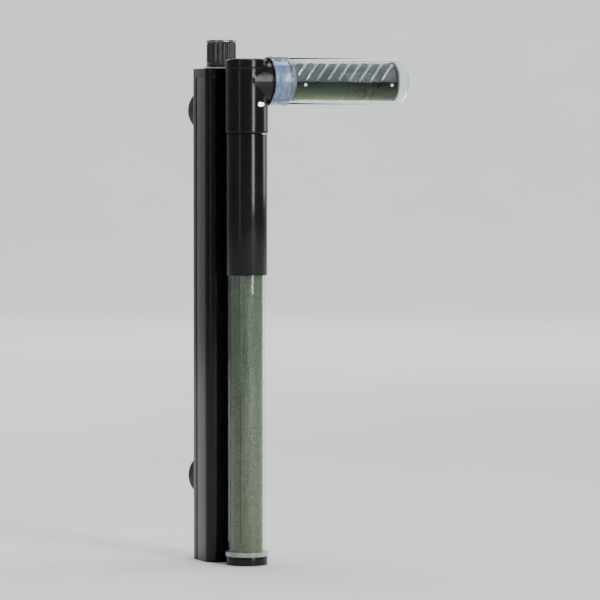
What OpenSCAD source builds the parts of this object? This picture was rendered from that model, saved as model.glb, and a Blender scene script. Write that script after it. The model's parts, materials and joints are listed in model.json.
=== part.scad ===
// Corner-mounted submersible aquarium heater with two glass heating tubes.
// X runs along the aquarium wall, +Y points into the wall, +Z is up.
// The origin is the centre of the upper suction cup's sealing face.
// Heights inside the modules are measured from the foot; seated() moves them to the origin.

/* [Column] */
// Width of the column
column_w = 22; // [21.5:0.5:26]
// Height of the column's housing
column_h = 210; // [209:0.5:212]
// Wall thickness of the mouldings
wall = 1.8; // [1.6:0.1:2]
// Thickness of the top cap
cap_t = 4; // [4:0.1:4.4]

/* [Wall bracket] */
// Width of the bracket's plate
plate_w = 18; // [16:0.5:20]
// Height of the upper suction cup above the foot
upper_cup_z = 196; // [190:1:197]
// Height of the lower suction cup above the foot
lower_cup_z = 36; // [34:1:45]
// Radius of a suction cup's lip
cup_r = 10; // [9:0.5:11]

/* [Temperature dial] */
// Radius of the dial knob
knob_r = 6.5; // [6:0.1:6.6]
// Height of the dial knob
knob_h = 11.6; // [10:0.2:13]
// Number of grip flutes round the knob
knob_flutes = 18; // [12:1:24]

/* [Swivelling upper tube] */
// Outer radius of the upper glass
upper_glass_r = 10; // [10:0.05:10.2]
// Straight length of the upper glass
upper_glass_l = 60.7; // [58:0.1:64]
// Height of the upper tube's axis above the foot
upper_axis_z = 208.5; // [208:0.1:209]
// Length of the collar that grips the upper glass
collar_l = 8.6; // [6:0.1:9]
// Lead of the winding over a quarter turn
winding_lead = 10.5; // [8:0.5:12]
// Spacing of the winding's strands along the tube
strand_pitch = 5.06; // [4.5:0.02:6]

/* [Lower tube] */
// Outer radius of the lower glass
lower_glass_r = 8; // [7.8:0.05:8]
// Height where the lower glass meets its sleeve
sleeve_z = 125; // [120:1:128]

/* [Hidden] */
$fn = 64;
eps = 0.01;

// Depths behind and in front of the wall plane, from the wall into the tank
plate_back_y = -5;
plate_t = 2.6;
plate_front_y = plate_back_y - plate_t;
cover_back_y = -8;
cover_t = 5;
gasket_t = 0.8;
cover_front_y = cover_back_y - cover_t;
housing_back_y = cover_front_y - gasket_t;
column_front_y = -27;
cavity_front_y = column_front_y + wall;
cavity_half_w = column_w / 2 - wall;
top_z = column_h + cap_t;

// Corner radii of the column in plan: at the front, at the back and along the seam
front_corner_r = 4;
back_corner_r = 1.5;
seam_corner_r = 0.6;

// Hooks of the bracket, each a T in plan, and the keyhole slots that hang on them
hook_neck_w = 5;
hook_neck_t = 2.2;
hook_head_w = 10;
hook_head_t = 1.8;
hook_gap = 0.3;
hook_l = 12;
hook_travel = 14;
hook_zs = [58, 160];

// Suction cup's neck and the button that snaps through the plate
cup_neck_r = 2.2;
cup_button_r = 3.4;
cup_button_z = 6.3;

// Cover screws and the bosses that they bite into
screw_x = column_w / 2 - 3;
screw_zs = [8, 105, 202];
screw_shank_r = 1.2;
screw_hole_r = 1.4;
boss_r = 2.6;
boss_l = 5.2;

// Dial axis
dial_x = -1.5;
dial_y = -18.5;
spindle_r = 1.95;
spindle_foot_z = 190.4;
thread_r = 1.6;
running_gap = 0.05;
seal_zs = [column_h, column_h + 2.8];
knob_z = top_z + 0.8;
knob_cap_t = 1.2;
knob_bore_l = 7.4;
pointer_w = 0.9;

// Thermostat
frame_foot_z = 150;
sheet_t = 0.8;
insulator_z = frame_foot_z + sheet_t + 0.1;
contact_foot_z = 157;
lever_pivot_x = dial_x - 6;
lever_z = 171.6;
lever_t = 0.6;
lever_pin_r = 0.75;
contact_x = 5.4;
plunger_tip_z = 172.4;

// Terminal block and the wires inside the column
terminal_y = housing_back_y - 5;
terminal_zs = [65, 75, 85];
terminal_screw_xs = [-4, 4];
wire_r = 0.7;

// Cord gland
gland_x = 2.5;
gland_y = -7.4;
cord_r = 2.7;
gland_wall_r = 4.3;
gland_seal_r = 3.6;
gland_seal_z = column_h + 3;
gland_seal_l = 8;
gland_tower_z = column_h + 9;

// Vertical tube
tube_x = 2.5;
tube_y = -38;
sleeve_r = 8.9;
sleeve_top_z = 185.6;
chamber_r = 7.6;
chamber_z = sleeve_z + 20;
ledge_z = 176;
web_w = 9;
web_depth = column_front_y - tube_y;
wire_hole_z = 160;
wire_hole_r = 2.2;
tube_screw_zs = [5, 150, 172];
lower_glass_wall = 1;
glass_foot_z = 2;
glass_in_sleeve = 14;
sand_r = lower_glass_r - lower_glass_wall - 0.1;
sand_core_r = 5;
lead_x = 1.6;
lead_r = 0.6;
return_lead_angle = -135;
return_lead_x = 6.1;
return_lead_r = 0.75;
ring_z = 3.7;
ring_r = 9.3;

// Swivelling head
head_r = 9.3;
head_z = 186;
head_top_z = 217.7;
head_groove_z = 213.3;
neck_r = 6.55;
neck_z = 172;
neck_clip_z = 174.8;
neck_seal_z = 180.2;
boss_end_x = 9.4;
boss_end_r = 9.5;
lamp_angle = -68;
lamp_z = 198.4;
lamp_r = 0.8;
lamp_spread = 0.8;

// Upper tube, measured along its axis from the vertical tube's axis
spigot_end_x = 19;
spigot_r = 8.5;
spigot_bore_r = 6.9;
upper_glass_wall = 1.2;
upper_bore_r = upper_glass_r - upper_glass_wall;
upper_glass_x = 9.8;
dome_h = 4;
former_start_x = 20;
former_end_x = upper_glass_x + upper_glass_l - 3;
former_l = former_end_x - former_start_x;
former_r = 7.6;
disc_t = 0.8;
rod_r = 1.35;
rod_hole_r = rod_r + 0.1;
upper_lead_drop = 2.4;
upper_lead_y = 3.4;
upper_lead_hole_r = lead_r + 0.1;
strand_first_top = 19.38;
strand_w = 1.5;
strand_r = [7.68, 8.55];
tray_r = 8.5;
tray_t = 0.75;

// ---------- shared shapes ----------

module seated() {
    translate([0, 0, -upper_cup_z]) children();
}

module at_tube(z = 0) {
    translate([tube_x, tube_y, z]) children();
}

module at_dial(z = 0) {
    translate([dial_x, dial_y, z]) children();
}

// Children drawn along +Z are laid along +X from the vertical tube's axis
module along_upper(x) {
    translate([tube_x + x, tube_y, upper_axis_z]) rotate([0, 90, 0]) children();
}

// Children drawn along +Z are turned to point into the tank, along -Y
module into_tank(x, y, z) {
    translate([x, y, z]) rotate([90, 0, 0]) children();
}

// Children drawn along +Z point out of the head where the pilot lamp shows
module at_lamp() {
    at_tube(lamp_z) rotate([0, 90, lamp_angle]) children();
}

// Children are repeated at every cover screw, drawn along +Z into the tank from a depth
module at_cover_screws(y) {
    for (x = [-screw_x, screw_x], z = screw_zs) into_tank(x, y, z) children();
}

// Children are drawn along +Z into the tank from a depth, on the axis of the contact lever's pin
module at_lever_pivot(y) {
    into_tank(lever_pivot_x, y, lever_z + lever_t / 2) children();
}

module ring(r_out, r_in, h) {
    difference() {
        cylinder(r = r_out, h = h);
        translate([0, 0, -eps]) cylinder(r = r_in, h = h + 2 * eps);
    }
}

module torus(r_centre, r_section) {
    rotate_extrude() translate([r_centre, 0]) circle(r = r_section, $fn = 24);
}

// A bar with round ends: two cylinders a spread either side of the axis along Y, and what joins them
module round_bar(r, spread, h) {
    for (s = [-spread, spread]) translate([0, s, 0]) cylinder(r = r, h = h);
    translate([-r, -spread, 0]) cube([2 * r, 2 * spread, h]);
}

// A rectangle in plan with round front and back corners
module plan(x0, x1, y0, y1, r_front, r_back) {
    translate([x0, y0 + r_front]) square([x1 - x0, y1 - r_back - y0 - r_front]);
    translate([x0 + r_front, y0]) square([x1 - x0 - 2 * r_front, r_front + eps]);
    translate([x0 + r_back, y1 - r_back - eps]) square([x1 - x0 - 2 * r_back, r_back + eps]);
    for (x = [x0 + r_front, x1 - r_front]) translate([x, y0 + r_front]) circle(r = r_front);
    for (x = [x0 + r_back, x1 - r_back]) translate([x, y1 - r_back]) circle(r = r_back);
}

// The column's outline in plan, between two depths
module column_plan(front_y, back_y, r_front, r_back) {
    plan(-column_w / 2, column_w / 2, front_y, back_y, r_front, r_back);
}

// The cavity's outline in plan, drawn in by a margin at its sides and front and by another at its back
module cavity_plan(margin, back_margin, r_front, r_back) {
    plan(-cavity_half_w + margin, cavity_half_w - margin, cavity_front_y + margin,
        housing_back_y - back_margin, r_front, r_back);
}

// A solid skin through a list of rings that have the same number of points
module skin(rings) {
    n = len(rings[0]);
    last = len(rings) - 1;
    lower_sides = [for (i = [0:last - 1]) for (j = [0:n - 1])
        [i * n + j, i * n + (j + 1) % n, (i + 1) * n + (j + 1) % n]];
    upper_sides = [for (i = [0:last - 1]) for (j = [0:n - 1])
        [i * n + j, (i + 1) * n + (j + 1) % n, (i + 1) * n + j]];
    ends = [[for (j = [n - 1:-1:0]) j], [for (j = [0:n - 1]) last * n + j]];
    polyhedron(points = [for (r = rings) each r], faces = concat(lower_sides, upper_sides, ends),
        convexity = 8);
}

module straight_run(from, to, r) {
    run = to - from;
    translate(from) rotate([0, acos(run[2] / norm(run)), atan2(run[1], run[0])])
        cylinder(r = r, h = norm(run), $fn = 24);
}

// A round wire of straight runs through a list of points, with a slightly larger ball at each bend
module bent_wire(pts, r) {
    ball_margin = 0.06;
    for (i = [1:len(pts) - 1]) straight_run(pts[i - 1], pts[i], r);
    for (i = [1:len(pts) - 2]) translate(pts[i]) sphere(r = r + ball_margin, $fn = 24);
}

// ---------- wall bracket ----------

module cup(z) {
    bell_end = 4.9;
    button_end = 7.5;
    roof = 2.4;
    outline = [
        [cup_r, 0], [cup_r, 0.6], [cup_r - 1.6, 2], [5.2, 3.6], [cup_button_r, bell_end],
        [cup_neck_r, bell_end], [cup_neck_r, cup_button_z], [cup_button_r, cup_button_z],
        [cup_button_r, button_end - 0.2], [cup_button_r - 0.5, button_end], [0, button_end],
        [0, roof], [4, 2], [6.4, 1.1], [cup_r - 2.4, 0],
    ];
    color("dimgray") into_tank(0, 0, z) rotate_extrude() polygon(outline);
}

module upper_suction_cup() {
    cup(upper_cup_z);
}

module lower_suction_cup() {
    cup(lower_cup_z);
}

module hook_plate() {
    foot = lower_cup_z - 12;
    head = upper_cup_z + 8;
    recess_y = 0.1 - cup_button_z;
    color([0.06, 0.06, 0.07]) difference() {
        union() {
            translate([-plate_w / 2, plate_front_y, foot]) cube([plate_w, plate_t, head - foot]);
            for (z = hook_zs) {
                translate([-hook_neck_w / 2, plate_front_y - hook_neck_t, z])
                    cube([hook_neck_w, hook_neck_t + eps, hook_l]);
                translate([-hook_head_w / 2, plate_front_y - hook_neck_t - hook_head_t, z])
                    cube([hook_head_w, hook_head_t, hook_l]);
            }
        }
        for (z = [lower_cup_z, upper_cup_z]) {
            into_tank(0, plate_back_y + 1, z) cylinder(r = cup_neck_r + 0.1, h = plate_t + 2);
            into_tank(0, recess_y, z) cylinder(r = cup_button_r + 0.2, h = plate_t);
        }
    }
}

// ---------- column ----------

module column_housing() {
    floor_t = 2;
    color([0.03, 0.03, 0.035]) difference() {
        union() {
            difference() {
                linear_extrude(column_h)
                    column_plan(column_front_y, housing_back_y, front_corner_r, seam_corner_r);
                translate([0, 0, floor_t]) linear_extrude(column_h) cavity_plan(0, -1, 2.4, 0.4);
            }
            intersection() {
                at_cover_screws(housing_back_y) cylinder(r = boss_r, h = boss_l);
                translate([-column_w / 2 + 0.5, column_front_y, 1])
                    cube([column_w - 1, housing_back_y - column_front_y, column_h - 2]);
            }
        }
        at_cover_screws(housing_back_y + 1) cylinder(r = screw_shank_r + 0.05, h = boss_l + 0.4);
        into_tank(tube_x, cavity_front_y + 1, wire_hole_z) cylinder(r = wire_hole_r, h = wall + 2);
        for (z = tube_screw_zs)
            into_tank(tube_x, cavity_front_y + 1, z) cylinder(r = screw_shank_r, h = wall + 2);
    }
}

// A slot for the hook's neck and head, with a window below it that lets the head in
module keyhole_slot(z) {
    foot = z - hook_travel;
    slot_l = hook_l + hook_travel + 0.1;
    head_y = plate_front_y - hook_neck_t - hook_head_t - 0.2;
    half_head = hook_head_w / 2 + hook_gap;
    half_neck = hook_neck_w / 2 + hook_gap;
    through_y = cover_back_y + 1 - head_y;
    translate([-half_head, head_y, foot]) cube([2 * half_head, hook_head_t + 0.4, slot_l]);
    translate([-half_neck, head_y, foot]) cube([2 * half_neck, through_y, slot_l]);
    translate([-half_head, head_y, foot]) cube([2 * half_head, through_y, hook_travel]);
}

module back_cover() {
    head_recess_r = 2.3;
    head_recess_l = 2.9;
    color([0.04, 0.04, 0.045]) difference() {
        linear_extrude(column_h)
            column_plan(cover_front_y, cover_back_y, seam_corner_r, back_corner_r);
        for (z = hook_zs) keyhole_slot(z);
        at_cover_screws(cover_back_y + 1) cylinder(r = screw_hole_r, h = cover_t + 2);
        at_cover_screws(cover_back_y + 1) cylinder(r = head_recess_r, h = head_recess_l);
    }
}

module cover_gasket() {
    border = 1.4;
    margin = 0.4;
    half = column_w / 2 - margin;
    length = column_h - 2 * margin;
    color([0.45, 0.47, 0.5]) into_tank(0, cover_front_y, 0) linear_extrude(gasket_t) difference() {
        union() {
            difference() {
                translate([-half, margin]) square([2 * half, length]);
                translate([-half + border, margin + border])
                    square([2 * (half - border), length - 2 * border]);
            }
            for (x = [-screw_x, screw_x], z = screw_zs) translate([x, z]) circle(r = boss_r - 0.1);
        }
        for (x = [-screw_x, screw_x], z = screw_zs) translate([x, z]) circle(r = screw_hole_r);
    }
}

module cover_screws() {
    head_screw_r = 2.1;
    cross_l = 2.4;
    cross_w = 0.5;
    color("silver") at_cover_screws(cover_back_y - 0.2) difference() {
        union() {
            cylinder(r = head_screw_r, h = 1.6);
            cylinder(r = screw_shank_r, h = 9.2);
        }
        for (a = [0, 90]) rotate(a)
            translate([-cross_l / 2, -cross_w / 2, -eps]) cube([cross_l, cross_w, 0.8]);
    }
}

module top_cap() {
    plug_l = 3;
    tower_foot_z = column_h + 1;
    boss_back = cover_back_y - gland_y + 0.1;
    color([0.03, 0.03, 0.035]) difference() {
        union() {
            translate([0, 0, column_h]) linear_extrude(cap_t)
                column_plan(column_front_y, cover_back_y, front_corner_r, back_corner_r);
            translate([0, 0, column_h - plug_l]) linear_extrude(plug_l + eps) difference() {
                cavity_plan(0.2, 0.4, 2.2, 0.4);
                cavity_plan(1.4, 1.6, 1, 0.2);
            }
            translate([gland_x, gland_y, column_h - plug_l]) intersection() {
                cylinder(r = gland_wall_r, h = cap_t + plug_l);
                translate([-gland_wall_r, boss_back, 0]) cube([2 * gland_wall_r, 10, cap_t + plug_l]);
            }
            translate([gland_x, gland_y, tower_foot_z])
                cylinder(r = gland_wall_r, h = gland_tower_z - tower_foot_z);
        }
        at_dial(column_h - 1) cylinder(r = 3.5, h = cap_t + 2);
        at_dial(column_h - 4) cylinder(r = 4.8, h = 4);
        translate([gland_x, gland_y, column_h]) cylinder(r = cord_r + 0.3, h = 20);
        translate([gland_x, gland_y, gland_seal_z]) cylinder(r = gland_seal_r + 0.05, h = 20);
        translate([gland_x - 2, housing_back_y - 3, column_h - eps])
            cube([4, gland_y - housing_back_y + 3, 2.6]);
    }
}

module gland_seal() {
    color([0.18, 0.18, 0.2]) translate([gland_x, gland_y, gland_seal_z])
        ring(gland_seal_r, cord_r, gland_seal_l);
}

module gland_nut() {
    nut_z = gland_tower_z + 0.2;
    nut_h = 3.4;
    seat_h = gland_seal_z + gland_seal_l + 0.2 - nut_z;
    color([0.05, 0.05, 0.055]) translate([gland_x, gland_y, nut_z]) difference() {
        union() {
            cylinder(r = 4.6, h = nut_h, $fn = 6);
            translate([0, 0, nut_h]) cylinder(r1 = 3.9, r2 = 3.5, h = 1.4);
        }
        translate([0, 0, -eps]) cylinder(r = gland_seal_r + 0.05, h = seat_h);
        cylinder(r = cord_r + 0.3, h = 10);
    }
}

module dial_ring() {
    color("whitesmoke") at_dial(top_z) ring(7.4, 4.2, 0.5);
}

// ---------- thermostat ----------

module spindle_bush() {
    flange_z = column_h - 1.8;
    color("goldenrod") at_dial() difference() {
        union() {
            translate([0, 0, flange_z]) cylinder(r = 4.6, h = 1.7);
            translate([0, 0, flange_z]) cylinder(r = 3.45, h = cap_t + 2);
        }
        translate([0, 0, column_h - 3]) cylinder(r = spindle_r + running_gap, h = cap_t + 4);
    }
}

// A sheet metal frame: a back plate with a foot shelf, a head shelf and two side straps
module thermostat_frame() {
    half = cavity_half_w - 0.3;
    plate_y = housing_back_y - 1.4;
    plate_h = 48;
    head_shelf_z = 190.2;
    strap_z = 177;
    strap_h = head_shelf_z + sheet_t - strap_z;
    color("lightsteelblue") difference() {
        union() {
            translate([-half, plate_y, frame_foot_z]) cube([2 * half, sheet_t, plate_h]);
            translate([-half, plate_y - 8.2, head_shelf_z]) cube([2 * half, 8.4, sheet_t]);
            translate([-half, plate_y - 6.6, frame_foot_z]) cube([2 * half, 6.8, sheet_t]);
            for (x = [dial_x - 4.6, dial_x + 3.8])
                translate([x, plate_y - 5.6, strap_z]) cube([sheet_t, 5.8, strap_h]);
        }
        at_dial(head_shelf_z - 1) cylinder(r = spindle_r + 0.15, h = 4);
        at_lever_pivot(housing_back_y) cylinder(r = lever_pin_r + 0.05, h = 4);
    }
}

module pivot_pin() {
    color("silver") at_lever_pivot(housing_back_y - 0.7) {
        cylinder(r = lever_pin_r, h = 8);
        translate([0, 0, 7.6]) cylinder(r = 1.3, h = 0.6);
    }
}

module insulator_block() {
    block = [15.5, 6.5, 6];
    color("ivory") translate([-7.5, housing_back_y - 8, insulator_z]) difference() {
        cube(block);
        for (x = [3, 12]) translate([x, 3.2, block[2] / 2]) cylinder(r = 0.7, h = block[2]);
    }
}

module fixed_contact() {
    contact_z = 168.4;
    color("goldenrod") {
        translate([4.2, housing_back_y - 6, contact_foot_z]) cube([2.4, 2.6, contact_z - contact_foot_z]);
        translate([contact_x, housing_back_y - 4.7, contact_z]) cylinder(r = 1.2, h = 0.8);
    }
}

// An upright strip that turns over to reach across under the lever
module bimetal_strip() {
    strip_t = 0.7;
    strip_w = 4;
    arm_z = 166.3;
    color("tan") translate([-5.6, housing_back_y - 6.6, contact_foot_z]) {
        cube([strip_t, strip_w, arm_z + 0.1 - contact_foot_z]);
        translate([0, 0, arm_z - contact_foot_z]) cube([8, strip_w, strip_t]);
    }
}

module snap_magnet() {
    color("dimgray") translate([0.2, housing_back_y - 6.1, 167.1]) cube([2, 3, 1.6]);
}

module suppression_capacitor() {
    color("darkorange") translate([-5, housing_back_y - 8.5, 122]) cube([10, 7, 16]);
}

module thermal_cutout() {
    body_l = 9;
    lead_l = 3;
    color("lightgray") translate([-4, housing_back_y - 5, 108]) {
        cylinder(r = 2.2, h = body_l);
        translate([0, 0, -lead_l]) cylinder(r = 0.5, h = body_l + 2 * lead_l);
    }
}

module terminal_block() {
    block = [14, 8, 30];
    color("white") difference() {
        translate([-block[0] / 2, housing_back_y - 9, 60]) cube(block);
        for (z = terminal_zs) {
            translate([-block[0] / 2 - 1, terminal_y, z]) rotate([0, 90, 0])
                cylinder(r = 1.3, h = block[0] + 2);
            for (x = terminal_screw_xs) into_tank(x, terminal_y, z) cylinder(r = 1.7, h = 6);
        }
    }
}

module terminal_screws() {
    slot_w = 0.5;
    color("goldenrod") for (x = terminal_screw_xs, z = terminal_zs)
        into_tank(x, terminal_y - 1.6, z) difference() {
            cylinder(r = 1.6, h = 2);
            translate([-1.7, -slot_w / 2, 1.4]) cube([3.4, slot_w, 1]);
        }
}

// Each wire leaves a terminal sideways, turns up along the housing's wall and runs to its end
module column_wires() {
    side_x = cavity_half_w - 1.1;
    front_y = cavity_front_y + 1;
    supply = [
        [-5, terminal_y, terminal_zs[0]], [-side_x, terminal_y, terminal_zs[0]],
        [-side_x, front_y + 1.8, 76], [-side_x, front_y + 1.6, 140], [-side_x, front_y + 2.6, 148.4],
    ];
    to_heads = [
        [5, terminal_y, terminal_zs[1]], [side_x, terminal_y, terminal_zs[1]],
        [side_x - 0.1, front_y + 0.9, 79.6], [6.2, front_y, 86], [6.2, front_y, 155],
        [tube_x, front_y - 0.2, 159.8], [tube_x, column_front_y - 2, wire_hole_z],
        [tube_x, tube_y + 2.4, 162], [tube_x, tube_y + 0.6, 168], [tube_x, tube_y, 182],
    ];
    to_gland = [
        [5, terminal_y, terminal_zs[2]], [side_x, terminal_y, terminal_zs[2]],
        [side_x, front_y + 1, 96], [side_x, front_y + 1, 180],
        [6.4, front_y - 0.1, 187], [6.4, front_y - 0.1, 202], [4.6, front_y + 2.6, 206],
    ];
    color("firebrick") for (route = [supply, to_heads, to_gland]) bent_wire(route, wire_r);
}

// ---------- lower tube ----------

module tube_sleeve() {
    web_foot_z = sleeve_z + 3;
    web_top_z = sleeve_top_z - 3.6;
    color([0.03, 0.03, 0.035]) difference() {
        union() {
            at_tube(sleeve_z) cylinder(r = sleeve_r, h = sleeve_top_z - sleeve_z);
            translate([tube_x - web_w / 2, tube_y + 6, web_foot_z])
                cube([web_w, web_depth - 6, web_top_z - web_foot_z]);
        }
        at_tube(sleeve_z - 1) cylinder(r = lower_glass_r + 0.1, h = chamber_z - sleeve_z + 1);
        at_tube(chamber_z - 1) cylinder(r = chamber_r, h = ledge_z - chamber_z + 1);
        at_tube(ledge_z - 1) cylinder(r = neck_r + running_gap, h = 20);
        into_tank(tube_x, column_front_y + 1, wire_hole_z) cylinder(r = wire_hole_r, h = 8);
        for (z = [tube_screw_zs[1], tube_screw_zs[2]])
            into_tank(tube_x, column_front_y + 1, z) cylinder(r = screw_shank_r - 0.05, h = 3.6);
    }
}

module sleeve_grommet() {
    color([0.75, 0.77, 0.8]) at_tube(sleeve_z + glass_in_sleeve + 0.1) difference() {
        cylinder(r = lower_glass_r - 0.1, h = 5.6);
        for (x = [-lead_x, lead_x]) translate([x, 0, -1]) cylinder(r = lead_r + 0.15, h = 8);
        rotate(return_lead_angle) translate([return_lead_x, 0, -1])
            cylinder(r = return_lead_r + 0.1, h = 8);
    }
}

// A tube that is closed at its foot, with a round edge
module lower_glass() {
    r = lower_glass_r;
    bore = r - lower_glass_wall;
    top = sleeve_z + glass_in_sleeve;
    edge = 1.2;
    outline = concat(
        [[0, glass_foot_z]],
        [for (a = [-90:15:0]) [r - edge + edge * cos(a), glass_foot_z + edge + edge * sin(a)]],
        [[r, top], [bore, top]],
        [[bore, glass_foot_z + edge], [0, glass_foot_z + edge]]
    );
    color([0.85, 0.9, 0.88, 0.5]) at_tube() rotate_extrude() polygon(outline);
}

module sand_fill() {
    foot = glass_foot_z + 1.3;
    bed = 3;
    height = sleeve_z + 3 - foot;
    color([0.45, 0.48, 0.4]) at_tube(foot) difference() {
        cylinder(r = sand_r, h = height);
        translate([0, 0, bed]) cylinder(r = sand_core_r, h = height);
        rotate(return_lead_angle) translate([return_lead_x, 0, 2 * bed])
            cylinder(r = return_lead_r + 0.1, h = height);
    }
}

module lower_former() {
    foot = 12;
    height = sleeve_z - 5 - foot;
    color("white") at_tube(foot) difference() {
        cylinder(r = 3.2, h = height);
        for (x = [-lead_x, lead_x]) translate([x, 0, height - 8]) cylinder(r = lead_r + 0.1, h = 10);
    }
}

// The section of the coil's wire at an angle round the former, four-sided
function coil_ring(a) =
    let (r = 4.1, half = 0.45, pitch = 4.8, z = 17 + pitch * a / 360)
    [for (c = [[-half, 0], [0, half], [half, 0], [0, -half]])
        [(r + c[0]) * cos(a), (r + c[0]) * sin(a), z + c[1]]];
module lower_coil() {
    turns = 20;
    color("gray") at_tube() skin([for (a = [0:30:360 * turns]) coil_ring(a)]);
}

module lower_leads() {
    foot = sleeve_z - 12.8;
    color("silver") at_tube(foot) for (x = [-lead_x, lead_x])
        translate([x, 0, 0]) cylinder(r = lead_r, h = chamber_z + 7 - foot);
}

module return_lead() {
    foot = 10;
    color("dimgray") at_tube(foot) rotate(return_lead_angle) translate([return_lead_x, 0, 0])
        cylinder(r = return_lead_r, h = chamber_z + 7 - foot);
}

module end_ring() {
    color([0.8, 0.84, 0.84]) at_tube(ring_z) ring(ring_r, lower_glass_r + 0.1, 2);
}

module foot_pad() {
    foot = 1.2;
    color([0.2, 0.2, 0.22]) at_tube(foot) cylinder(r = 6.6, h = glass_foot_z - foot);
}

module foot_bracket() {
    socket_r = 9;
    socket_floor = 1.2;
    socket_h = ring_z - 0.1;
    color([0.03, 0.03, 0.035]) difference() {
        union() {
            at_tube() cylinder(r = socket_r, h = socket_h);
            translate([tube_x - web_w / 2, tube_y + 7, 0]) cube([web_w, web_depth - 7, 9]);
        }
        at_tube(socket_floor) cylinder(r = lower_glass_r + 0.1, h = 20);
        at_tube(socket_h) cylinder(r = ring_r + 0.4, h = 20);
        into_tank(tube_x, column_front_y + 1, tube_screw_zs[0])
            cylinder(r = screw_shank_r - 0.05, h = 2.8);
    }
}

// The lowest screw is the shortest, because the foot bracket's web is thin there
module tube_screws() {
    head_t = 1.4;
    short_l = 2.9;
    long_l = 4.2;
    color("silver") for (z = tube_screw_zs)
        into_tank(tube_x, cavity_front_y, z) {
            cylinder(r = screw_shank_r - 0.1, h = z == tube_screw_zs[0] ? short_l : long_l);
            translate([0, 0, -head_t]) cylinder(r = 2, h = head_t);
        }
}

// ---------- temperature dial ----------

module knob() {
    body_h = knob_h - knob_cap_t;
    skirt_h = 1.4;
    flute_r = 0.8;
    hub_r = 3.2;
    rim_t = 1.3;
    color([0.04, 0.04, 0.045]) at_dial(knob_z) difference() {
        cylinder(r = knob_r, h = body_h);
        for (i = [0:knob_flutes - 1]) rotate(360 * i / knob_flutes)
            translate([knob_r + 0.35, 0, skirt_h]) cylinder(r = flute_r, h = body_h, $fn = 24);
        translate([0, 0, -eps]) cylinder(r = spindle_r + 0.03, h = knob_bore_l);
        translate([0, 0, -eps]) ring(knob_r - rim_t, hub_r, 4);
        translate([-0.5, -knob_r - 1, 2]) cube([1, 1.8, body_h]);
    }
}

module knob_cap() {
    groove_w = pointer_w + 0.1;
    groove_l = 5.6;
    color("dimgray") at_dial(knob_z + knob_h - knob_cap_t) difference() {
        cylinder(r = knob_r, h = knob_cap_t);
        translate([-groove_w / 2, -knob_r - 1, knob_cap_t / 2]) cube([groove_w, groove_l, knob_cap_t]);
    }
}

module knob_pointer() {
    pointer_z = knob_h - knob_cap_t / 2 + 0.02;
    color("orangered") at_dial(knob_z) translate([-pointer_w / 2, 0.2 - knob_r, pointer_z])
        cube([pointer_w, 4.3, 0.55]);
}

module spindle() {
    thread_foot_z = 178.6;
    groove_r = 1.38;
    color("lightgray") at_dial() difference() {
        union() {
            translate([0, 0, spindle_foot_z])
                cylinder(r = spindle_r, h = knob_z + knob_bore_l - 0.4 - spindle_foot_z);
            translate([0, 0, thread_foot_z]) cylinder(r = thread_r, h = 12);
        }
        for (z = seal_zs) translate([0, 0, z - 0.4]) ring(spindle_r + 1, groove_r, 0.8);
    }
}

module spindle_seals() {
    color([0.1, 0.1, 0.1]) at_dial() for (z = seal_zs) translate([0, 0, z]) torus(1.67, 0.26);
}

module adjuster_plunger() {
    body_z = 175;
    color("ivory") at_dial() difference() {
        union() {
            translate([0, 0, body_z]) cylinder(r = 2.9, h = 13);
            translate([0, 0, plunger_tip_z]) cylinder(r = 1.2, h = 3);
            translate([-3.5, -1, body_z + 3]) cube([7, 2, 9]);
        }
        translate([0, 0, body_z + 2.2]) cylinder(r = thread_r + running_gap, h = 14);
    }
}

module contact_arm() {
    hub_r = 1.5;
    arm_w = 3;
    color("peru") difference() {
        union() {
            at_lever_pivot(dial_y + arm_w / 2) cylinder(r = hub_r, h = arm_w);
            translate([lever_pivot_x, dial_y - arm_w / 2, lever_z]) cube([14, arm_w, lever_t]);
        }
        at_lever_pivot(dial_y + 2) cylinder(r = lever_pin_r + running_gap, h = 4);
    }
}

module moving_contact() {
    button_h = 0.8;
    color("silver") translate([contact_x, dial_y, lever_z - button_h]) cylinder(r = 1.1, h = button_h);
}

// ---------- swivelling head and upper tube ----------

// A moulded elbow: head, neck that turns in the sleeve, and spigot that carries the upper glass
module elbow_head() {
    bore_z = 188;
    bore_r = 7.5;
    bore_top_z = 215.4;
    color([0.03, 0.03, 0.035]) difference() {
        union() {
            difference() {
                at_tube(head_z) cylinder(r = head_r, h = head_top_z - head_z);
                at_tube(head_groove_z) ring(head_r + 1, head_r - 0.4, 0.6);
            }
            at_tube(neck_z) cylinder(r = neck_r, h = head_z - neck_z + eps);
            along_upper(0) cylinder(r = boss_end_r, h = boss_end_x);
            along_upper(0) cylinder(r = spigot_r, h = spigot_end_x);
        }
        at_tube(bore_z) cylinder(r = bore_r, h = bore_top_z - bore_z);
        at_tube(neck_z - 1) cylinder(r = 4.6, h = 30);
        at_tube(bore_top_z - 0.4) cylinder(r = 6.05, h = 10);
        at_tube(head_top_z - 0.8) cylinder(r = 6.9, h = 10);
        along_upper(0) cylinder(r = spigot_bore_r, h = spigot_end_x + 1);
        at_tube(neck_seal_z) ring(neck_r + 1, 5.7, 1.5);
        at_tube(neck_clip_z) ring(neck_r + 1, 5.85, 1.1);
        at_lamp() round_bar(lamp_r + 0.05, lamp_spread, 20);
    }
}

module head_plug() {
    plug_z = head_top_z - 3.1;
    plug_h = 2.8;
    color([0.05, 0.05, 0.055]) at_tube(plug_z) {
        cylinder(r = 6, h = plug_h);
        translate([0, 0, plug_h - 0.4]) cylinder(r = 6.8, h = 1);
    }
}

module neck_seal() {
    color([0.1, 0.1, 0.1]) at_tube(neck_seal_z + 0.75) torus(6.12, 0.4);
}

// A spring ring with a gap in one side
module neck_clip() {
    gap = 3;
    color("silver") at_tube(neck_clip_z + 0.1) difference() {
        ring(7.3, 5.9, 0.9);
        translate([-8, -gap / 2, -1]) cube([4, gap, 3]);
    }
}

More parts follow.
